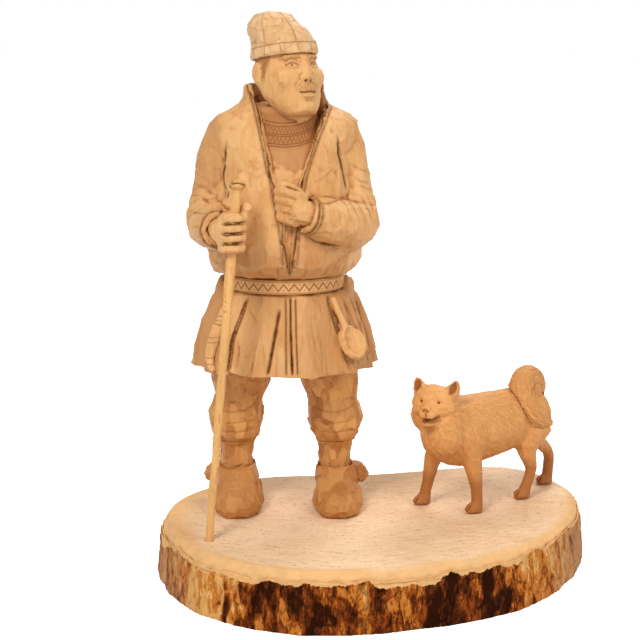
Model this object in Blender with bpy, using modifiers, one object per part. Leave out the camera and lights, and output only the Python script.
"""A carved wooden sculpture: a man with a staff and his dog, standing on a slice of log with its bark on.

Units are metres and +Z is up. The origin is the middle of the slab's footprint, on the surface it stands on.
The man faces -Y, and his right hand, which holds the staff, is on the -X side.
"""

import math

import bmesh
import bpy
from mathutils import Matrix, Vector

# The log slice
SLAB_THICKNESS = 0.042
BARK_THICKNESS = 0.005
BARK_TOP = 0.0365
BARK_LEAN = 0.0022
BARK_RAGGEDNESS = 0.0038
RIM_ROUNDING = 0.0045
SLAB_OUTLINE = (
    (-0.158, 0.000),
    (-0.121, -0.084),
    (-0.036, -0.122),
    (0.084, -0.086),
    (0.145, -0.010),
    (0.158, 0.074),
    (0.112, 0.138),
    (0.004, 0.118),
    (-0.088, 0.108),
    (-0.143, 0.064),
)

# Fits between the glued pieces, and the running fit of the staff
FIT_GAP = 0.0004
STAFF_CLEARANCE = 0.0004

# The man stands here on the slab, and his pieces are placed from this point
MAN_X = -0.065
MAN_Y = 0.0242

# Legs and boots
LEG_SPREAD = 0.0365
LEG_SETBACK = 0.008
BOOT_HEIGHT = 0.0295
BOOT_LENGTH = 0.065
BOOT_WIDTH = 0.036
ANKLE_RADIUS = 0.0118
TROUSER_RADIUS = 0.0192
LEG_TENON_RADIUS = 0.014
LEG_TENON_LENGTH = 0.018
LEG_IN_BOOT = 0.010

# Skirt, belt and waist tenon
HEM_HEIGHT = 0.108
HEM_HALF_WIDTH = 0.0690
HEM_HALF_DEPTH = 0.059
HEM_RECESS = 0.010
WAIST_HEIGHT = 0.164
WAIST_HALF_WIDTH = 0.0395
WAIST_HALF_DEPTH = 0.035
SKIRT_FLARE = (
    # share of the drop from waist to hem, share of the flare in width and in depth
    (0.00, 0.00, 0.00),
    (0.03, 0.27, 0.08),
    (0.10, 0.45, 0.19),
    (0.30, 0.645, 0.38),
    (0.60, 0.84, 0.66),
    (1.00, 1.00, 1.00),
)
PLEAT_DEPTH = 0.0065
PLEAT_WIDTH_DEG = 7.0
PLEAT_ANGLES_DEG = (-158, -118, -99, -86, -58, -30, -8, 22, 50, 78, 104, 132, 164)
BELT_WIDTH = 0.011
BELT_THICKNESS = 0.0035
TENON_HALF_WIDTH = 0.031
TENON_HALF_DEPTH = 0.025
TENON_IN_SKIRT = 0.008

# Jacket
SHOULDER_HEIGHT = 0.280
COLLAR_HEIGHT = 0.310
CHEST_HALF_WIDTH = 0.0552
CHEST_HALF_DEPTH = 0.0475
JACKET_WALL = 0.005
NECK_RADIUS = 0.0155
NECK_TENON_BOTTOM = 0.272

# Head and hat
CROWN_SHARE = 0.90
HEAD_X = 0.0045
HEAD_Y = -0.012
CHIN_HEIGHT = 0.2930
HEAD_TURN_DEG = 35.0
HEAD_TILT_DEG = -9.0
HEAD_HALF_WIDTH = 0.0222
HEAD_HALF_DEPTH = 0.0250
HAT_WALL = 0.0022
HAT_BRIM = 0.0360
HAT_TOP = 0.0680

# Arms and hands
ARM_RADIUS = 0.0165
CUFF_RADIUS = 0.0132
FIST_HALF_HEIGHT = 0.0135
GRIP_BELOW_STAFF_TOP = 0.032

# Staff
STAFF_FOOT_X = -0.0515
STAFF_FOOT_Y = -0.0837
STAFF_TOP_X = -0.0305
STAFF_TOP_Y = -0.067
STAFF_HEIGHT = 0.245
STAFF_TOP_RADIUS = 0.0034
STAFF_FOOT_RADIUS = 0.0025
STAFF_SOCKET_DEPTH = 0.009
KNOB_RADIUS = 0.0062
STAFF_COLLAR_HEIGHT = 0.160

# Dog, placed by the middle of its stance
DOG_X = 0.0909
DOG_Y = 0.0357
DOG_HEADING_DEG = 212.5
DOG_BACK_HEIGHT = 0.084
DOG_BELLY_HEIGHT = 0.031
DOG_LEG_RADIUS = 0.0046
DOG_TAIL_RADIUS = 0.0100

# Fixings through the slab
SCREW_RADIUS = 0.0020
SCREW_HEAD_RADIUS = 0.0042
SCREW_HEAD_DEPTH = 0.0035
SCREW_HEAD_SUNK = 0.0015
SCREW_IN_BOOT = 0.013
PIN_RADIUS = 0.0012
PIN_IN_LEG = 0.010
PIN_IN_SLAB = 0.015

# How finely the fused carvings are meshed
FUSE_VOXEL = 0.0014


def clear_scene():
    for obj in list(bpy.data.objects):
        bpy.data.objects.remove(obj)


def collection_named(name):
    made = bpy.data.collections.new(name)
    bpy.context.scene.collection.children.link(made)
    return made


def material_named(name, colour, roughness, metallic=0.0):
    made = bpy.data.materials.new(name)
    made.use_nodes = True
    shader = made.node_tree.nodes["Principled BSDF"]
    shader.inputs["Base Color"].default_value = (*colour, 1.0)
    shader.inputs["Roughness"].default_value = roughness
    shader.inputs["Metallic"].default_value = metallic
    return made


clear_scene()
PIECES = collection_named("man_and_dog_sculpture")
CUTTERS = collection_named("cutters")
CARVED_WOOD = material_named("carved_wood", (0.72, 0.42, 0.17), 0.55)
SLAB_WOOD = material_named("slab_wood", (0.80, 0.56, 0.33), 0.6)
BARK = material_named("bark", (0.20, 0.09, 0.035), 0.8)
STAFF_WOOD = material_named("staff_wood", (0.75, 0.46, 0.18), 0.5)
STEEL = material_named("steel", (0.55, 0.55, 0.56), 0.4, 1.0)


def put(name, mesh, collection=PIECES, material=None):
    obj = bpy.data.objects.new(name, mesh)
    collection.objects.link(obj)
    if material:
        mesh.materials.clear()
        mesh.materials.append(material)
    return obj


def from_bmesh(name, bm, collection=CUTTERS):
    bmesh.ops.recalc_face_normals(bm, faces=bm.faces)
    mesh = bpy.data.meshes.new(name)
    bm.to_mesh(mesh)
    bm.free()
    return put(name, mesh, collection)


def evaluated_mesh(obj):
    bpy.context.view_layer.update()
    graph = bpy.context.evaluated_depsgraph_get()
    return bpy.data.meshes.new_from_object(obj.evaluated_get(graph), depsgraph=graph)


def bake(obj):
    """Turns an object's modifiers into plain mesh."""
    mesh = evaluated_mesh(obj)
    obj.modifiers.clear()
    obj.data = mesh
    return obj


def combine(obj, other, operation):
    boolean = obj.modifiers.new(operation.title(), "BOOLEAN")
    boolean.operation = operation
    boolean.solver = "EXACT"
    boolean.use_self = True
    boolean.object = other
    return bake(obj)


def cut(obj, *cutters):
    for cutter in cutters:
        combine(obj, cutter, "DIFFERENCE")
    return obj


def join(obj, *others):
    for other in others:
        combine(obj, other, "UNION")
    return obj


def grown(obj, by=FIT_GAP):
    """A cutter that is the piece with its clearance all round."""
    cutter = put(obj.name + "_clearance", obj.data.copy(), CUTTERS)
    cutter.matrix_world = obj.matrix_world
    swell = cutter.modifiers.new("Clearance", "DISPLACE")
    swell.strength = by
    swell.mid_level = 0.0
    return bake(cutter)


def set_origin(obj, point):
    """Moves the object's origin to this point and leaves its shape where it is."""
    obj.data.transform(Matrix.Translation(-point))
    obj.location = point
    return obj


def finish(obj, name, material):
    """Names a piece, gives it its material and moves it among the pieces."""
    for holder in list(obj.users_collection):
        holder.objects.unlink(obj)
    PIECES.objects.link(obj)
    obj.name = name
    obj.data.materials.clear()
    obj.data.materials.append(material)
    obj.data.shade_smooth()
    obj.data.set_sharp_from_angle(angle=math.radians(35))
    return obj


def smooth_path(points, per_span, closed=False):
    """Points along a smooth curve through the given ones, which may hold more than three numbers."""
    rows = [tuple(p) for p in points]
    count = len(rows)
    spans = count if closed else count - 1
    made = []
    for i in range(spans):
        before = rows[(i - 1) % count] if closed or i else rows[0]
        after = rows[(i + 2) % count] if closed or i + 2 < count else rows[-1]
        start, end = rows[i], rows[(i + 1) % count]
        for step in range(per_span):
            t = step / per_span
            made.append(tuple(catmull_rom(*four, t) for four in zip(before, start, end, after)))
    if not closed:
        made.append(rows[-1])
    return made


def catmull_rom(before, start, end, after, t):
    slope_in, slope_out = (end - before) / 2, (after - start) / 2
    return (
        start * (2 * t**3 - 3 * t**2 + 1)
        + slope_in * (t**3 - 2 * t**2 + t)
        + end * (3 * t**2 - 2 * t**3)
        + slope_out * (t**3 - t**2)
    )


def oval(centre, half_width, half_depth, around, squareness=1.0):
    """Points of a level oval, from +X towards +Y. Squareness under 1 fills out its corners."""
    points = []
    for step in range(around):
        angle = 2 * math.pi * step / around
        c, s = math.cos(angle), math.sin(angle)
        x = math.copysign(abs(c) ** squareness, c) * half_width
        y = math.copysign(abs(s) ** squareness, s) * half_depth
        points.append(Vector(centre) + Vector((x, y, 0)))
    return points


def loft(name, rings, endless=False):
    """A skin through rings of equally many points, capped at both ends or run back to the first ring."""
    bm = bmesh.new()
    loops = [[bm.verts.new(p) for p in ring] for ring in rings]
    pairs = list(zip(loops, loops[1:]))
    if endless:
        pairs.append((loops[-1], loops[0]))
    else:
        bm.faces.new(loops[0])
        bm.faces.new(loops[-1])
    for lower, upper in pairs:
        for i in range(len(lower)):
            bm.faces.new((lower[i - 1], lower[i], upper[i], upper[i - 1]))
    return from_bmesh(name, bm)


def body_of_ovals(name, sections, around, squareness=1.0, per_span=1):
    """A loft through level ovals, each (x, y, z, half width, half depth), with smooth steps between."""
    rings = [oval(s[:3], s[3], s[4], around, squareness) for s in smooth_path(sections, per_span)]
    return loft(name, rings)


def tube(name, points, sides_resolution=3, per_span=3):
    """A round limb through points that are each (x, y, z, radius)."""
    curve = bpy.data.curves.new(name, "CURVE")
    curve.dimensions = "3D"
    curve.bevel_depth = 1.0
    curve.bevel_resolution = sides_resolution
    curve.use_fill_caps = True
    path = smooth_path(points, per_span)
    spline = curve.splines.new("POLY")
    spline.points.add(len(path) - 1)
    for point, (x, y, z, radius) in zip(spline.points, path):
        point.co = (x, y, z, 1)
        point.radius = radius
    guide = put(name, curve, CUTTERS)
    bm = bmesh.new()
    bm.from_mesh(evaluated_mesh(guide))
    bpy.data.objects.remove(guide)
    bmesh.ops.remove_doubles(bm, verts=bm.verts, dist=1e-5)
    return from_bmesh(name, bm)


def ball(name, centre, radii, segments=16, rings=10):
    bm = bmesh.new()
    bmesh.ops.create_uvsphere(bm, u_segments=segments, v_segments=rings, radius=1.0)
    bmesh.ops.scale(bm, vec=radii, verts=bm.verts)
    bmesh.ops.translate(bm, vec=centre, verts=bm.verts)
    return from_bmesh(name, bm)


def block(name, low, high):
    bm = bmesh.new()
    bmesh.ops.create_cube(bm, size=1.0)
    size = Vector(high) - Vector(low)
    bmesh.ops.scale(bm, vec=size, verts=bm.verts)
    bmesh.ops.translate(bm, vec=(Vector(low) + Vector(high)) / 2, verts=bm.verts)
    return from_bmesh(name, bm)


def rod(name, start, end, radius, segments=24):
    """A straight round rod between two points."""
    start, end = Vector(start), Vector(end)
    along = end - start
    bm = bmesh.new()
    bmesh.ops.create_cone(
        bm,
        cap_ends=True,
        segments=segments,
        radius1=radius,
        radius2=radius,
        depth=along.length,
        matrix=Matrix.Translation((start + end) / 2) @ along.to_track_quat("Z", "Y").to_matrix().to_4x4(),
    )
    return from_bmesh(name, bm)


def fuse(name, lumps, triangles, voxel=FUSE_VOXEL, smoothing=4):
    """Blends overlapping lumps into one carved form with about this many triangles."""
    bm = bmesh.new()
    for lump in lumps:
        bm.from_mesh(lump.data)
        bpy.data.objects.remove(lump)
    fused = from_bmesh(name, bm)
    remesh = fused.modifiers.new("Blend", "REMESH")
    remesh.mode = "VOXEL"
    remesh.voxel_size = voxel
    soften = fused.modifiers.new("Soften", "SMOOTH")
    soften.iterations = smoothing
    bake(fused)
    fused.data.calc_loop_triangles()
    thin = fused.modifiers.new("Facets", "DECIMATE")
    thin.ratio = triangles / len(fused.data.loop_triangles)
    return bake(fused)


def transform(obj, matrix):
    obj.data.transform(matrix)
    return obj


def man_point(x, y, z):
    return Vector((MAN_X + x, MAN_Y + y, SLAB_THICKNESS + z))


def man_rows(rows):
    """Rows whose first three numbers are a place from the man's standing point, as world places."""
    return [(*man_point(*row[:3]), *row[3:]) for row in rows]


# Log slice


def slab_loop(inset, per_span=6):
    """The slab's outline, moved inwards by inset and centred on the origin."""
    points = [Vector(p) for p in smooth_path(SLAB_OUTLINE, per_span, closed=True)]
    low = Vector((min(p.x for p in points), min(p.y for p in points)))
    high = Vector((max(p.x for p in points), max(p.y for p in points)))
    points = [p - (low + high) / 2 for p in points]
    moved = []
    for i, point in enumerate(points):
        along = points[(i + 1) % len(points)] - points[i - 1]
        inward = Vector((-along.y, along.x)).normalized()
        moved.append(point + inward * inset)
    return moved


def level_ring(outline, height):
    return [Vector((p.x, p.y, height)) for p in outline]


def base_slab():
    inset = BARK_THICKNESS + FIT_GAP
    edge = slab_loop(inset)
    rings = [level_ring(edge, 0.0), level_ring(edge, SLAB_THICKNESS - RIM_ROUNDING)]
    rim_steps = 3
    for step in range(1, rim_steps + 1):
        angle = math.pi / 2 * step / rim_steps
        inwards = inset + RIM_ROUNDING * (1 - math.cos(angle))
        height = SLAB_THICKNESS - RIM_ROUNDING * (1 - math.sin(angle))
        rings.append(level_ring(slab_loop(inwards), height))
    return loft("base_slab", rings)


def ragged(index, count):
    """The bark's uneven top edge, from -1 to 1 round the slab."""
    turn = 2 * math.pi * index / count
    return 0.45 * math.sin(5 * turn + 0.6) + 0.35 * math.sin(13 * turn) + 0.2 * math.sin(29 * turn + 2.1)


def bark_rind():
    inner = slab_loop(BARK_THICKNESS)
    outer = slab_loop(0.0)
    count = len(inner)
    tops = [BARK_TOP + BARK_RAGGEDNESS * ragged(i, count) for i in range(count)]
    furrows = [BARK_THICKNESS * 0.16 * math.sin(37 * 2 * math.pi * i / count) for i in range(count)]
    crest = slab_loop(BARK_THICKNESS * 0.68)
    out = [p + (q - p) * f / BARK_THICKNESS for p, q, f in zip(outer, inner, furrows)]
    upper = [p + (q - p) * BARK_LEAN / BARK_THICKNESS for p, q in zip(out, inner)]
    rings = [
        level_ring(inner, 0.0),
        level_ring(out, 0.0),
        [Vector((p.x, p.y, top * 0.9)) for p, top in zip(upper, tops)],
        [Vector((p.x, p.y, top)) for p, top in zip(crest, tops)],
        [Vector((p.x, p.y, top * 0.97)) for p, top in zip(inner, tops)],
    ]
    return loft("bark_rind", rings, endless=True)


# Legs and boots


def leg(side):
    """Side is -1 for his right leg and 1 for his left."""
    ankle_x, upper_x = side * LEG_SPREAD, side * (LEG_SPREAD - 0.0045)
    y = LEG_SETBACK
    cuff = BOOT_HEIGHT + 0.020
    tenon = HEM_HEIGHT + HEM_RECESS + LEG_TENON_LENGTH
    rows = [
        (ankle_x, y, BOOT_HEIGHT - LEG_IN_BOOT, ANKLE_RADIUS, ANKLE_RADIUS),
        (ankle_x, y - 0.001, BOOT_HEIGHT + 0.008, ANKLE_RADIUS, ANKLE_RADIUS * 1.03),
        (ankle_x, y - 0.001, cuff - 0.003, ANKLE_RADIUS * 1.06, ANKLE_RADIUS * 1.1),
        (ankle_x, y - 0.002, cuff + 0.002, TROUSER_RADIUS * 0.84, TROUSER_RADIUS * 0.88),
        (ankle_x, y - 0.003, cuff + 0.008, TROUSER_RADIUS * 0.97, TROUSER_RADIUS * 1.02),
        (ankle_x, y - 0.004, cuff + 0.022, TROUSER_RADIUS, TROUSER_RADIUS * 1.06),
        (upper_x, y - 0.005, HEM_HEIGHT - 0.010, TROUSER_RADIUS * 1.04, TROUSER_RADIUS * 1.1),
        (upper_x, y - 0.004, HEM_HEIGHT + HEM_RECESS, TROUSER_RADIUS * 1.08, TROUSER_RADIUS * 1.12),
    ]
    trouser = body_of_ovals("trouser", man_rows(rows), around=16, per_span=2)
    root = man_point(upper_x, y - 0.004, HEM_HEIGHT)
    top = man_point(upper_x, y - 0.004, tenon)
    return join(trouser, rod("leg_tenon", root, top, LEG_TENON_RADIUS))


def boot(side):
    x, heel = side * LEG_SPREAD, LEG_SETBACK + 0.016
    toe = heel - BOOT_LENGTH
    half = BOOT_WIDTH / 2
    drift = 0.004
    sections = (
        # height, toe end, heel end, half width
        (0.0, toe + 0.003, heel - 0.003, half * 0.90),
        (0.004, toe, heel, half * 1.00),
        (0.011, toe + 0.002, heel, half * 0.97),
        (0.018, toe + 0.013, heel - 0.001, half * 0.88),
        (BOOT_HEIGHT * 0.83, toe + 0.023, heel - 0.002, half * 0.80),
        (BOOT_HEIGHT, toe + 0.029, heel - 0.002, half * 0.78),
    )
    rows = []
    for height, front, back, width in sections:
        middle = (front + back) / 2
        lean = drift * (LEG_SETBACK - middle) / BOOT_LENGTH * 2
        rows.append((x + lean, middle, FIT_GAP + height, width, (back - front) / 2))
    return body_of_ovals("boot", man_rows(rows), around=16, squareness=0.85, per_span=2)


def boot_tassel(side):
    """The tied end of the boot band, a stub at the outside of the heel."""
    rows = (
        (side * (LEG_SPREAD + 0.008), LEG_SETBACK + 0.006, 0.0240, 0.0048),
        (side * (LEG_SPREAD + 0.014), LEG_SETBACK + 0.010, 0.0215, 0.0070),
        (side * (LEG_SPREAD + 0.0185), LEG_SETBACK + 0.013, 0.0175, 0.0074),
        (side * (LEG_SPREAD + 0.0215), LEG_SETBACK + 0.015, 0.0130, 0.0050),
    )
    return tube("boot_tassel", man_rows(rows), sides_resolution=2, per_span=2)


# Skirt, belt and jacket


def pleat(angle_deg):
    """How far the cloth falls in at this angle, from 0 to 1."""
    deepest = 0.0
    for at in PLEAT_ANGLES_DEG:
        apart = (angle_deg - at + 180) % 360 - 180
        deepest = max(deepest, math.exp(-((apart / PLEAT_WIDTH_DEG) ** 2)))
    return deepest


def skirt_halves(down):
    """The skirt's half width and half depth at this share of its drop."""
    for (above, wide_above, deep_above), (below, wide_below, deep_below) in zip(SKIRT_FLARE, SKIRT_FLARE[1:]):
        if down <= below:
            break
    share = (down - above) / (below - above)
    wide = wide_above + (wide_below - wide_above) * share
    deep = deep_above + (deep_below - deep_above) * share
    return (
        WAIST_HALF_WIDTH + (HEM_HALF_WIDTH - WAIST_HALF_WIDTH) * wide,
        WAIST_HALF_DEPTH + (HEM_HALF_DEPTH - WAIST_HALF_DEPTH) * deep,
    )


def skirt():
    around = 60
    drop = WAIST_HEIGHT - HEM_HEIGHT
    rings = []
    for down, _, out in SKIRT_FLARE:
        half_width, half_depth = skirt_halves(down)
        ring = []
        for step in range(around):
            angle = 360 * step / around
            reach = 1 - (0.25 + 0.75 * out) * PLEAT_DEPTH * pleat(angle) / half_depth
            x = half_width * reach * math.cos(math.radians(angle))
            y = half_depth * reach * math.sin(math.radians(angle))
            ring.append(man_point(x, y, WAIST_HEIGHT - drop * down))
        rings.append(ring)
    hollow = [p.lerp(man_point(0, 0, HEM_HEIGHT), 0.10) for p in rings[-1]]
    roof = [
        p.lerp(man_point(0, 0, HEM_HEIGHT), 0.22) + Vector((0, 0, HEM_RECESS)) for p in rings[-1]
    ]
    return loft("skirt", rings + [hollow, roof])


def belt():
    top = WAIST_HEIGHT + BELT_WIDTH
    outer_width = WAIST_HALF_WIDTH + BELT_THICKNESS
    outer_depth = WAIST_HALF_DEPTH + BELT_THICKNESS
    soft = 0.0012
    rows = [
        (0, 0, WAIST_HEIGHT + FIT_GAP, outer_width - soft, outer_depth - soft),
        (0, 0, WAIST_HEIGHT + soft, outer_width, outer_depth),
        (0, 0, top - soft, outer_width, outer_depth),
        (0, 0, top - FIT_GAP, outer_width - soft, outer_depth - soft),
    ]
    return body_of_ovals("belt", man_rows(rows), around=40)


def trunk_height(share):
    """The height at this share of the way from the belt's top to the shoulders."""
    low = WAIST_HEIGHT + BELT_WIDTH
    return low + share * (SHOULDER_HEIGHT - low)


def jacket_sections():
    """The jacket's outer form: height, half width, half depth, shift back."""
    wide, deep = CHEST_HALF_WIDTH, CHEST_HALF_DEPTH
    rise = COLLAR_HEIGHT - SHOULDER_HEIGHT
    return [
        (trunk_height(0.000), wide * 0.78, deep * 0.74, 0.0),
        (trunk_height(0.028), wide * 0.91, deep * 0.88, 0.0),
        (trunk_height(0.105), wide * 1.00, deep * 0.99, -0.001),
        (trunk_height(0.267), wide * 0.99, deep * 1.00, -0.002),
        (trunk_height(0.476), wide * 0.935, deep * 0.96, -0.002),
        (trunk_height(0.695), wide * 0.865, deep * 0.865, 0.000),
        (trunk_height(0.867), wide * 0.90, deep * 0.79, 0.002),
        (trunk_height(0.981), wide * 0.955, deep * 0.725, 0.004),
        (SHOULDER_HEIGHT + rise * 0.14, wide * 0.945, deep * 0.685, 0.005),
        (SHOULDER_HEIGHT + rise * 0.29, wide * 0.84, deep * 0.63, 0.005),
        (SHOULDER_HEIGHT + rise * 0.43, wide * 0.67, deep * 0.59, 0.005),
        (SHOULDER_HEIGHT + rise * 0.60, wide * 0.535, deep * 0.547, 0.005),
        (COLLAR_HEIGHT, wide * 0.527, deep * 0.58, 0.006),
    ]


def tunic_sections():
    """What shows in the jacket's opening: the chest, and the banded collar of the tunic."""
    collar_foot = SHOULDER_HEIGHT - 0.010
    body = [
        (z, width - JACKET_WALL, depth - JACKET_WALL, back)
        for z, width, depth, back in jacket_sections()
        if z < collar_foot - 0.006
    ]
    collar = [
        (collar_foot, 0.0335, 0.0290, 0.001),
        (collar_foot + 0.010, 0.0272, 0.0248, -0.001),
        (collar_foot + 0.018, 0.0240, 0.0225, -0.002),
        (collar_foot + 0.0235, 0.0222, 0.0212, -0.002),
        (collar_foot + 0.0255, 0.0200, 0.0190, -0.002),
    ]
    return body + collar


def ovals_of(sections):
    return man_rows([(0, back, z, width, depth) for z, width, depth, back in sections])


def jacket_opening():
    """A wedge through the jacket's front, whose edges are the two front borders."""
    edge = (
        # x, height, down his right border and up his left
        (-0.0245, COLLAR_HEIGHT + 0.008),
        (-0.0142, trunk_height(1.01)),
        (-0.0088, trunk_height(0.77)),
        (-0.0040, trunk_height(0.60)),
        (0.0003, trunk_height(0.371)),
        (0.0035, trunk_height(0.038)),
        (0.0050, trunk_height(0.038)),
        (0.0085, trunk_height(0.371)),
        (0.0115, trunk_height(0.62)),
        (0.0155, trunk_height(0.77)),
        (0.0250, trunk_height(1.01)),
        (0.0370, COLLAR_HEIGHT + 0.008),
    )
    front, back = -0.08, 0.004
    rings = [[man_point(x, y, z) for x, z in edge] for y in (front, back)]
    return loft("jacket_opening", rings)


def torso():
    jacket = body_of_ovals("torso", ovals_of(jacket_sections()), around=28, per_span=2)
    tunic = body_of_ovals("tunic", ovals_of(tunic_sections()), around=20, per_span=1)
    wall = JACKET_WALL * 0.7
    well = [
        (SHOULDER_HEIGHT - 0.004, 0.0200, 0.0190, 0.004),
        (SHOULDER_HEIGHT + 0.010, 0.0285 - wall, 0.0255 - wall, 0.005),
        (SHOULDER_HEIGHT + 0.018, 0.0285 - wall, 0.0255 - wall, 0.005),
        (COLLAR_HEIGHT + 0.004, 0.0295 - wall, 0.0280 - wall, 0.006),
    ]
    opening = join(jacket_opening(), body_of_ovals("neck_well", ovals_of(well), around=20))
    cut(jacket, cut(opening, tunic))
    low = WAIST_HEIGHT + BELT_WIDTH
    tenon = body_of_ovals(
        "waist_tenon",
        man_rows(
            [
                (0, 0, WAIST_HEIGHT - TENON_IN_SKIRT, TENON_HALF_WIDTH, TENON_HALF_DEPTH),
                (0, 0, low + 0.006, TENON_HALF_WIDTH, TENON_HALF_DEPTH),
            ]
        ),
        around=32,
    )
    return join(jacket, tenon)


# Head and hat


def head_matrix():
    turn = Matrix.Rotation(math.radians(HEAD_TURN_DEG), 4, "Z")
    tilt = Matrix.Rotation(math.radians(HEAD_TILT_DEG), 4, "X")
    return Matrix.Translation(man_point(HEAD_X, HEAD_Y, CHIN_HEIGHT)) @ turn @ tilt


def skull_sections():
    """The head's level sections above the chin, facing -Y: y, height, half width, half depth."""
    wide, deep = HEAD_HALF_WIDTH, HEAD_HALF_DEPTH
    return [
        (0, -0.0120, -0.0005, wide * 0.46, deep * 0.32),
        (0, -0.0080, 0.0035, wide * 0.68, deep * 0.57),
        (0, -0.0030, 0.0115, wide * 0.91, deep * 0.83),
        (0, -0.0005, 0.0225, wide * 1.00, deep * 0.98),
        (0, 0.0010, 0.0335, wide * CROWN_SHARE, deep * CROWN_SHARE),
        (0, 0.0020, 0.0435, wide * CROWN_SHARE * 0.91, deep * CROWN_SHARE * 0.91),
        (0, 0.0030, 0.0525, wide * CROWN_SHARE * 0.66, deep * CROWN_SHARE * 0.68),
        (0, 0.0035, 0.0580, wide * CROWN_SHARE * 0.30, deep * CROWN_SHARE * 0.30),
    ]


def head():
    skull = body_of_ovals("skull", skull_sections(), around=28, per_span=3)
    nose_tip = -HEAD_HALF_DEPTH - 0.0030
    lumps = [
        skull,
        tube(
            "nose",
            (
                (0, nose_tip + 0.0072, 0.0325, 0.0022),
                (0, nose_tip + 0.0050, 0.0270, 0.0030),
                (0, nose_tip + 0.0042, 0.0215, 0.0042),
                (0, nose_tip + 0.0060, 0.0188, 0.0032),
            ),
        ),
        ball("chin", (0, -0.0180, 0.0045), (0.0085, 0.0060, 0.0050)),
        ball("lips", (0, -0.0205, 0.0122), (0.0090, 0.0050, 0.0045)),
        ball("brow", (0, -0.0165, 0.0330), (0.0155, 0.0070, 0.0036)),
    ]
    for side in (-1, 1):
        lumps.append(ball("cheek", (side * 0.0115, -0.0145, 0.0205), (0.0085, 0.0080, 0.0075)))
        lumps.append(ball("ear", (side * (HEAD_HALF_WIDTH - 0.0004), 0.0045, 0.0255), (0.0034, 0.0054, 0.0080)))
    for lump in lumps:
        transform(lump, head_matrix())
    lumps.append(
        rod(
            "neck",
            man_point(HEAD_X - 0.001, HEAD_Y + 0.008, NECK_TENON_BOTTOM),
            man_point(HEAD_X, HEAD_Y + 0.004, CHIN_HEIGHT + 0.015),
            NECK_RADIUS,
        )
    )
    return fuse("head", lumps, triangles=860, voxel=0.0011, smoothing=3)


def hat():
    wide, deep = (half * CROWN_SHARE + HAT_WALL for half in (HEAD_HALF_WIDTH, HEAD_HALF_DEPTH))
    rise = HAT_TOP - HAT_BRIM
    shares = (
        # share of the rise, share of the width, shift back, shift to his right
        (-0.06, 0.96, 0.0010, 0.0),
        (0.00, 1.00, 0.0010, 0.0),
        (0.10, 1.02, 0.0012, 0.0002),
        (0.30, 0.97, 0.0016, 0.0004),
        (0.50, 0.90, 0.0034, 0.0016),
        (0.70, 0.80, 0.0060, 0.0036),
        (0.90, 0.62, 0.0074, 0.0046),
        (1.00, 0.38, 0.0078, 0.0050),
    )
    rows = [
        (-aside, back, HAT_BRIM + rise * up, wide * out, deep * out) for up, out, back, aside in shares
    ]
    cap = body_of_ovals("hat", rows, around=20, squareness=0.94, per_span=2)
    brim = block("brim_plane", (-0.1, -0.1, -0.05), (0.1, 0.1, HAT_BRIM))
    cut(cap, brim)
    return transform(cap, head_matrix())


# Arms and hands


def grip_height():
    """The middle of the fist on the staff."""
    return STAFF_HEIGHT - GRIP_BELOW_STAFF_TOP


def right_arm():
    elbow, cuff = trunk_height(0.376), grip_height() - 0.0005
    rows = (
        (-0.0380, 0.006, trunk_height(0.955), ARM_RADIUS * 1.04),
        (-0.0452, 0.005, trunk_height(0.825), ARM_RADIUS * 1.00),
        (-0.0502, 0.001, trunk_height(0.570), ARM_RADIUS * 0.95),
        (-0.0530, -0.009, elbow, ARM_RADIUS * 1.06),
        (-0.0490, -0.030, (elbow + cuff) / 2 - 0.0015, ARM_RADIUS * 0.98),
        (-0.0435, -0.052, cuff, CUFF_RADIUS),
    )
    return fuse("right_arm", [tube("sleeve", man_rows(rows))], triangles=440, voxel=0.0016, smoothing=2)


def left_cuff_height():
    return trunk_height(0.462)


def left_arm():
    rows = (
        (0.0360, 0.006, trunk_height(0.945), ARM_RADIUS * 1.03),
        (0.0425, 0.005, trunk_height(0.815), ARM_RADIUS * 0.98),
        (0.0475, 0.000, trunk_height(0.560), ARM_RADIUS * 0.93),
        (0.0505, -0.014, trunk_height(0.350), ARM_RADIUS * 1.06),
        (0.0350, -0.038, trunk_height(0.390), ARM_RADIUS * 0.97),
        (0.0165, -0.051, left_cuff_height(), CUFF_RADIUS),
    )
    return fuse("left_arm", [tube("sleeve", man_rows(rows))], triangles=440, voxel=0.0016, smoothing=2)


def staff_axis(height):
    """The staff's centre line, by height above the slab."""
    share = height / STAFF_HEIGHT
    x = STAFF_FOOT_X + (STAFF_TOP_X - STAFF_FOOT_X) * share
    y = STAFF_FOOT_Y + (STAFF_TOP_Y - STAFF_FOOT_Y) * share
    return man_point(x, y, height)


def staff_bore(low, high):
    return rod(
        "staff_bore",
        staff_axis(low),
        staff_axis(high),
        STAFF_TOP_RADIUS + STAFF_CLEARANCE,
        segments=32,
    )


def staff_socket():
    """The hole in the slab that the staff's foot stands in."""
    foot_radius = STAFF_FOOT_RADIUS + STAFF_CLEARANCE
    return rod("staff_socket", staff_axis(-STAFF_SOCKET_DEPTH), staff_axis(0.01), foot_radius)


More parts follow.
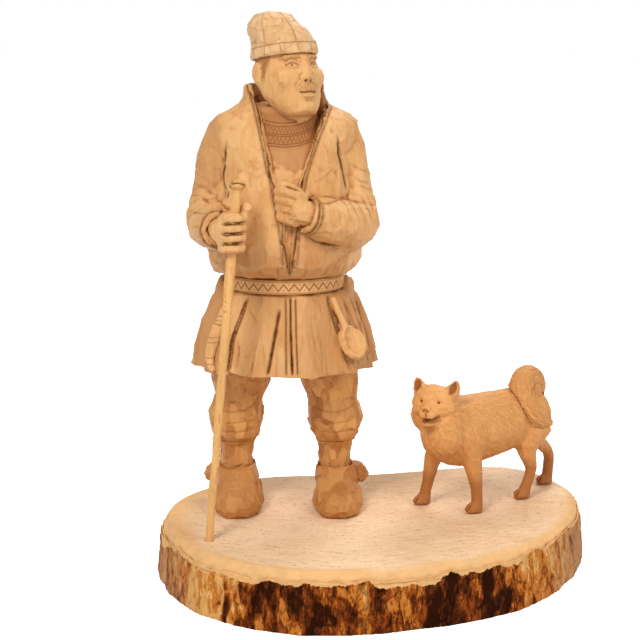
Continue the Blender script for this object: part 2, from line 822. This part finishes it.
def right_hand():
    """A fist round the staff: four stacked fingers, the back of the hand, the thumb and the wrist."""
    middle = grip_height()
    grip = staff_axis(middle)
    finger = FIST_HALF_HEIGHT / 4
    reach = STAFF_TOP_RADIUS + finger * 0.85
    lumps = []
    for index in range(4):
        height = middle - FIST_HALF_HEIGHT + finger * (2 * index + 1)
        centre = staff_axis(height)
        curl = []
        for step in range(9):
            angle = math.radians(150 + 300 * step / 8)
            curl.append(
                (centre.x + reach * math.cos(angle), centre.y + reach * math.sin(angle), centre.z, finger * 1.12)
            )
        lumps.append(tube("finger", curl, per_span=1))
    wrist_start = man_point(-0.0450, -0.0470, middle - 0.0005)
    lumps.append(ball("palm", grip + Vector((-0.0075, 0.0035, 0)), (0.0055, 0.0085, FIST_HALF_HEIGHT * 0.92)))
    lumps.append(
        tube(
            "wrist",
            (
                (*wrist_start, 0.0078),
                (*wrist_start.lerp(grip + Vector((-0.007, 0.004, 0)), 0.6), 0.0085),
                (*(grip + Vector((-0.0065, 0.003, 0))), 0.0088),
            ),
        )
    )
    thumb_top = middle + FIST_HALF_HEIGHT
    thumb = [
        (*(staff_axis(thumb_top - 0.004) + Vector((-0.004, 0.0085, 0))), finger * 1.25),
        (*(staff_axis(thumb_top) + Vector((0.004, 0.0080, 0))), finger * 1.25),
        (*(staff_axis(thumb_top + 0.004) + Vector((0.0085, 0.0015, 0))), finger * 1.0),
    ]
    lumps.append(tube("thumb", thumb))
    fist = fuse("right_hand", lumps, triangles=600, voxel=0.0008, smoothing=2)
    return cut(fist, staff_bore(middle - 0.03, middle + 0.04))


def left_hand():
    """The hand that he tucks under the jacket's border, its back to the front."""
    cuff = left_cuff_height()
    lumps = [
        tube(
            "wrist",
            man_rows(
                (
                    (0.0215, -0.0490, cuff - 0.0015, 0.0085),
                    (0.0140, -0.0510, cuff + 0.0010, 0.0092),
                    (0.0060, -0.0505, cuff + 0.0035, 0.0090),
                )
            ),
        )
    ]
    for index in range(4):
        up = cuff + 0.0060 * (index - 1.5)
        rows = (
            (0.0110, -0.0515, up + 0.0035, 0.0044),
            (0.0035, -0.0512, up + 0.0055, 0.0044),
            (-0.0040, -0.0440, up + 0.0065, 0.0038),
        )
        lumps.append(tube("finger", man_rows(rows)))
    thumb = (
        (0.0150, -0.0500, cuff + 0.0095, 0.0042),
        (0.0070, -0.0520, cuff + 0.0170, 0.0036),
        (-0.0030, -0.0460, cuff + 0.0205, 0.0030),
    )
    lumps.append(tube("thumb", man_rows(thumb)))
    return fuse("left_hand", lumps, triangles=450, voxel=0.0009, smoothing=2)


# Staff


def staff():
    """A whittled staff with a bound collar below the hand and a round knob."""
    foot = staff_axis(-STAFF_SOCKET_DEPTH + FIT_GAP)
    top = staff_axis(STAFF_HEIGHT)
    axis = top - foot
    length = axis.length
    taper = (STAFF_TOP_RADIUS - STAFF_FOOT_RADIUS) / length
    collar = (staff_axis(STAFF_COLLAR_HEIGHT) - foot).length
    ring, waist = STAFF_TOP_RADIUS, STAFF_TOP_RADIUS * 0.78
    profile = [(0.0, length + KNOB_RADIUS * 0.62)]
    for step in range(1, 8):
        angle = math.pi * step / 9
        profile.append((KNOB_RADIUS * math.sin(angle), length + KNOB_RADIUS * 0.62 * math.cos(angle)))
    profile += [
        (STAFF_TOP_RADIUS * 0.92, length - KNOB_RADIUS * 0.9),
        (STAFF_TOP_RADIUS, length - KNOB_RADIUS * 1.8),
        (STAFF_TOP_RADIUS, collar + 0.0075),
        (waist, collar + 0.0065),
        (ring, collar + 0.0045),
        (waist, collar + 0.0020),
        (ring, collar),
        (waist, collar - 0.0020),
        (STAFF_FOOT_RADIUS + taper * collar, collar - 0.0035),
        (STAFF_FOOT_RADIUS, 0.0),
        (0.0, 0.0),
    ]
    bm = bmesh.new()
    verts = [bm.verts.new((r, 0, z)) for r, z in profile]
    for upper, lower in zip(verts, verts[1:]):
        bm.edges.new((upper, lower))
    mesh = bpy.data.meshes.new("staff")
    bm.to_mesh(mesh)
    bm.free()
    obj = put("staff", mesh, CUTTERS)
    turn = obj.modifiers.new("Turned", "SCREW")
    turn.steps = 12
    turn.render_steps = 12
    turn.use_merge_vertices = True
    turn.merge_threshold = 1e-5
    bake(obj)
    return transform(obj, Matrix.Translation(foot) @ axis.to_track_quat("Z", "Y").to_matrix().to_4x4())


# Things that hang from the belt


def skirt_surface(x, height, front=-1):
    """The point on the skirt's unpleated surface at this x and height, and the way it faces."""
    half_width, half_depth = skirt_halves((WAIST_HEIGHT - height) / (WAIST_HEIGHT - HEM_HEIGHT))
    y = front * half_depth * math.sqrt(max(0.0, 1 - (x / half_width) ** 2))
    slope = (HEM_HALF_WIDTH - WAIST_HALF_WIDTH) / (WAIST_HEIGHT - HEM_HEIGHT)
    facing = Vector((x / half_width**2, y / half_depth**2, 0)).normalized()
    facing = (facing + Vector((0, 0, slope))).normalized()
    return man_point(x, y, height), facing


def along_skirt(rows):
    """Tube rows from (x, height, stand-off, radius) on the skirt's surface."""
    made = []
    for x, height, off, radius in rows:
        point, facing = skirt_surface(x, height)
        made.append((*(point + facing * off), radius))
    return made


def knife_handle():
    rows = (
        (-0.0370, WAIST_HEIGHT - 0.001, 0.0030, 0.0016),
        (-0.0400, WAIST_HEIGHT - 0.010, 0.0028, 0.0017),
        (-0.0415, WAIST_HEIGHT - 0.014, 0.0028, 0.0031),
        (-0.0450, WAIST_HEIGHT - 0.023, 0.0028, 0.0029),
    )
    return tube("knife_handle", along_skirt(rows), sides_resolution=2, per_span=2)


def knife_sheath():
    rows = (
        (-0.0452, WAIST_HEIGHT - 0.0235, 0.0028, 0.0040),
        (-0.0475, WAIST_HEIGHT - 0.031, 0.0028, 0.0042),
        (-0.0505, WAIST_HEIGHT - 0.041, 0.0026, 0.0038),
        (-0.0510, WAIST_HEIGHT - 0.049, 0.0024, 0.0030),
        (-0.0485, WAIST_HEIGHT - 0.0545, 0.0024, 0.0018),
    )
    return tube("knife_sheath", along_skirt(rows), sides_resolution=2, per_span=2)


def spoon():
    bowl_at, facing = skirt_surface(0.0460, WAIST_HEIGHT - 0.034)
    down = (facing.cross(Vector((1, 0.6, 0)))).normalized()
    across = down.cross(facing).normalized()
    frame = Matrix((across, down, facing)).transposed().to_4x4()
    place = Matrix.Translation(bowl_at + facing * 0.0022) @ frame
    bowl = transform(ball("bowl", (0, 0, 0), (0.0086, 0.0125, 0.0052), 14, 8), place)
    hollow_at = Matrix.Translation(facing * 0.0046)
    hollow = transform(ball("bowl_hollow", (0, 0, 0), (0.0072, 0.0108, 0.0054), 14, 8), hollow_at @ place)
    rows = (
        (0.0330, WAIST_HEIGHT - 0.004, 0.0026, 0.0020),
        (0.0365, WAIST_HEIGHT - 0.012, 0.0028, 0.0022),
        (0.0405, WAIST_HEIGHT - 0.021, 0.0026, 0.0024),
        (0.0435, WAIST_HEIGHT - 0.028, 0.0022, 0.0030),
    )
    handle = tube("spoon_handle", along_skirt(rows), sides_resolution=2, per_span=2)
    return cut(join(bowl, handle), hollow)


# Dog


def dog_matrix():
    turn = Matrix.Rotation(math.radians(DOG_HEADING_DEG), 4, "Z")
    return Matrix.Translation((DOG_X, DOG_Y, SLAB_THICKNESS)) @ turn


DOG_HEAD_AT = Vector((0.0595, 0.0042, 0.0795))
DOG_HEAD_TURN_DEG = 34.0
DOG_PAWS = {
    "front_right": (0.0510, -0.0185),
    "front_left": (0.0310, 0.0185),
    "rear_left": (-0.0210, 0.0105),
    "rear_right": (-0.0600, -0.0095),
}


def dog_trunk():
    """The trunk along the dog's length, through upright ovals: x, middle height, half width, half height."""
    middle = (DOG_BACK_HEIGHT + DOG_BELLY_HEIGHT) / 2
    deep = (DOG_BACK_HEIGHT - DOG_BELLY_HEIGHT) / 2
    sections = (
        (0.058, middle + 0.004, 0.0095, deep * 0.50),
        (0.051, middle + 0.002, 0.0175, deep * 0.86),
        (0.036, middle, 0.0210, deep * 1.00),
        (0.016, middle + 0.0005, 0.0200, deep * 0.98),
        (-0.006, middle + 0.002, 0.0180, deep * 0.92),
        (-0.026, middle + 0.004, 0.0170, deep * 0.84),
        (-0.040, middle + 0.003, 0.0155, deep * 0.76),
        (-0.048, middle + 0.001, 0.0095, deep * 0.48),
    )
    rings = []
    for x, height, half_width, half_height in smooth_path(sections, 3):
        ring = oval((0, 0, 0), half_width, half_height, 24)
        rings.append([Vector((x, p.x, height + p.y)) for p in ring])
    return loft("dog_trunk", rings)


def dog_legs():
    slim = DOG_LEG_RADIUS
    paths = {
        "front_right": ((0.040, -0.010, 0.056, 0.0105), (0.046, -0.0145, 0.036, 0.0072), (0.0485, -0.0170, 0.018, slim)),
        "front_left": ((0.034, 0.010, 0.056, 0.0110), (0.0315, 0.0145, 0.036, 0.0076), (0.0300, 0.0175, 0.018, slim)),
        "rear_left": ((-0.034, 0.008, 0.056, 0.0125), (-0.022, 0.0105, 0.040, 0.0085), (-0.0275, 0.0105, 0.022, slim)),
        "rear_right": ((-0.038, -0.008, 0.056, 0.0120), (-0.044, -0.0095, 0.040, 0.0080), (-0.0610, -0.0095, 0.026, slim)),
    }
    lumps = []
    for name, rows in paths.items():
        paw_x, paw_y = DOG_PAWS[name]
        rows += ((paw_x - 0.0010, paw_y, 0.007, slim * 0.98), (paw_x - 0.0005, paw_y, -0.002, slim * 1.05))
        lumps.append(tube(name, rows))
        lumps.append(ball("paw", (paw_x + 0.0022, paw_y, 0.0028), (0.0074, 0.0056, 0.0046)))
    return lumps


def dog_head_lumps():
    """The head in its own frame, facing +X, then turned and set on the neck."""
    lumps = [
        ball("skull", (-0.002, 0, 0.0035), (0.0145, 0.0176, 0.0135)),
        ball("ruff", (-0.006, 0, -0.007), (0.0130, 0.0206, 0.0170)),
        tube("muzzle", ((0.002, 0, 0.0000, 0.0100), (0.010, 0, -0.0012, 0.0080), (0.0180, 0, -0.0016, 0.0054))),
        ball("jaw", (0.009, 0, -0.0090), (0.0085, 0.0064, 0.0032)),
    ]
    for side in (-1, 1):
        ear = (
            (-0.004, side * 0.0120, 0.0110, 0.0064),
            (-0.0045, side * 0.0142, 0.0165, 0.0044),
            (-0.0045, side * 0.0156, 0.0212, 0.0014),
        )
        lumps.append(tube("ear", ear))
    place = Matrix.Translation(DOG_HEAD_AT) @ Matrix.Rotation(math.radians(DOG_HEAD_TURN_DEG), 4, "Z")
    return [transform(lump, place) for lump in lumps]


def dog_body():
    neck = tube(
        "dog_neck",
        (
            (0.036, 0.0, 0.064, 0.0200),
            (0.046, 0.0015, 0.068, 0.0190),
            (0.0545, 0.0035, 0.073, 0.0165),
        ),
    )
    chest = ball("dog_chest", (0.0535, 0.0055, 0.0600), (0.0155, 0.0180, 0.0200))
    lumps = [dog_trunk(), neck, chest, *dog_legs(), *dog_head_lumps()]
    for lump in lumps:
        transform(lump, dog_matrix())
    dog = fuse("dog_body", lumps, triangles=1600, voxel=0.0013, smoothing=3)
    low = (DOG_X - 0.2, DOG_Y - 0.2, SLAB_THICKNESS - 0.03)
    high = (DOG_X + 0.2, DOG_Y + 0.2, SLAB_THICKNESS + FIT_GAP)
    return cut(dog, block("ground", low, high))


def dog_tail():
    """The bushy tail curls up over the rump, and its tip falls along the dog's left side."""
    full = DOG_TAIL_RADIUS
    rows = (
        (-0.0390, -0.0030, 0.0690, full * 0.62),
        (-0.0420, -0.0030, 0.0800, full * 0.80),
        (-0.0370, -0.0020, 0.0885, full * 0.92),
        (-0.0270, 0.0010, 0.0900, full * 1.00),
        (-0.0190, 0.0060, 0.0820, full * 1.00),
        (-0.0215, 0.0125, 0.0695, full * 0.90),
        (-0.0310, 0.0165, 0.0600, full * 0.72),
        (-0.0420, 0.0165, 0.0565, full * 0.26),
    )
    curl = transform(tube("dog_tail", rows), dog_matrix())
    return fuse("dog_tail", [curl], triangles=520, voxel=0.0011, smoothing=2)


# Fixings


def boot_screw(side, clearance=0.0):
    """A wood screw up through the slab into the boot, its head sunk in the underside.

    With a clearance it is the hole for that screw, open below.
    """
    x, y = side * LEG_SPREAD, -0.004
    sunk = SCREW_HEAD_SUNK - SLAB_THICKNESS
    low = sunk if not clearance else sunk - 2 * SCREW_HEAD_SUNK
    seat = sunk + SCREW_HEAD_DEPTH + clearance
    head_radius, shank_radius = SCREW_HEAD_RADIUS + clearance, SCREW_RADIUS + clearance
    rows = [
        (x, y, low, head_radius, head_radius),
        (x, y, seat, head_radius, head_radius),
        (x, y, seat, shank_radius, shank_radius),
        (x, y, SCREW_IN_BOOT + clearance, shank_radius, shank_radius),
    ]
    return body_of_ovals("boot_screw", man_rows(rows), around=16)


def paw_pin(paw, clearance=0.0):
    """A pin from the slab up into the dog's leg, or with a clearance the hole for it."""
    x, y = DOG_PAWS[paw]
    low = dog_matrix() @ Vector((x, y, -PIN_IN_SLAB - clearance))
    high = dog_matrix() @ Vector((x, y, PIN_IN_LEG + clearance))
    return rod("paw_pin", low, high, PIN_RADIUS + clearance, 12)


def build():
    slab = base_slab()
    rind = bark_rind()
    body, face, cap = torso(), head(), hat()
    kilt, band = skirt(), belt()
    arms = {"right": right_arm(), "left": left_arm()}
    hands = {"right": right_hand(), "left": left_hand()}
    stick = staff()
    sheath, handle, ladle = knife_sheath(), knife_handle(), spoon()
    dog, tail = dog_body(), dog_tail()
    sides = {"right": -1, "left": 1}
    legs = {name: leg(side) for name, side in sides.items()}
    boots = {name: boot(side) for name, side in sides.items()}
    tassels = {name: boot_tassel(side) for name, side in sides.items()}
    screws = {name: boot_screw(side) for name, side in sides.items()}
    pins = {paw: paw_pin(paw) for paw in ("front_left", "rear_left")}

    # Each seat is cut by the piece that goes into it, grown by the fit
    cut(slab, staff_socket())
    for name, side in sides.items():
        hole = boot_screw(side, FIT_GAP)
        cut(slab, hole)
        cut(boots[name], grown(legs[name]), hole)
        cut(tassels[name], grown(boots[name]), grown(legs[name]))
        cut(kilt, grown(legs[name]))
    for paw in pins:
        hole = paw_pin(paw, FIT_GAP)
        cut(slab, hole)
        cut(dog, hole)
    cut(body, grown(face))
    cut(cap, grown(face))
    cut(kilt, grown(body))
    cut(band, grown(body), grown(kilt))
    cut(hands["left"], grown(body))
    for name in sides:
        cut(arms[name], grown(body), grown(hands[name]))
    cut(sheath, grown(kilt))
    cut(handle, grown(kilt), grown(sheath), grown(band))
    cut(ladle, grown(kilt), grown(band))
    cut(tail, grown(dog))

    finish(slab, "base_slab", SLAB_WOOD)
    finish(rind, "bark_rind", BARK)
    carved = {
        "torso": body,
        "head": face,
        "hat": cap,
        "skirt": kilt,
        "belt": band,
        "knife_sheath": sheath,
        "knife_handle": handle,
        "spoon": ladle,
        "dog_body": dog,
        "dog_tail": tail,
    }
    for name in sides:
        carved[f"{name}_arm"] = arms[name]
        carved[f"{name}_hand"] = hands[name]
        carved[f"{name}_leg"] = legs[name]
        carved[f"{name}_boot"] = boots[name]
        carved[f"{name}_boot_tassel"] = tassels[name]
        finish(screws[name], f"{name}_boot_screw", STEEL)
    for name, obj in carved.items():
        finish(obj, name, CARVED_WOOD)
    for paw, pin in pins.items():
        finish(pin, f"dog_{paw}_pin", STEEL)
    finish(stick, "staff", STAFF_WOOD)
    set_origin(stick, staff_axis(0))
    for cutter in CUTTERS.objects:
        cutter.hide_render = True
        cutter.display_type = "WIRE"


build()
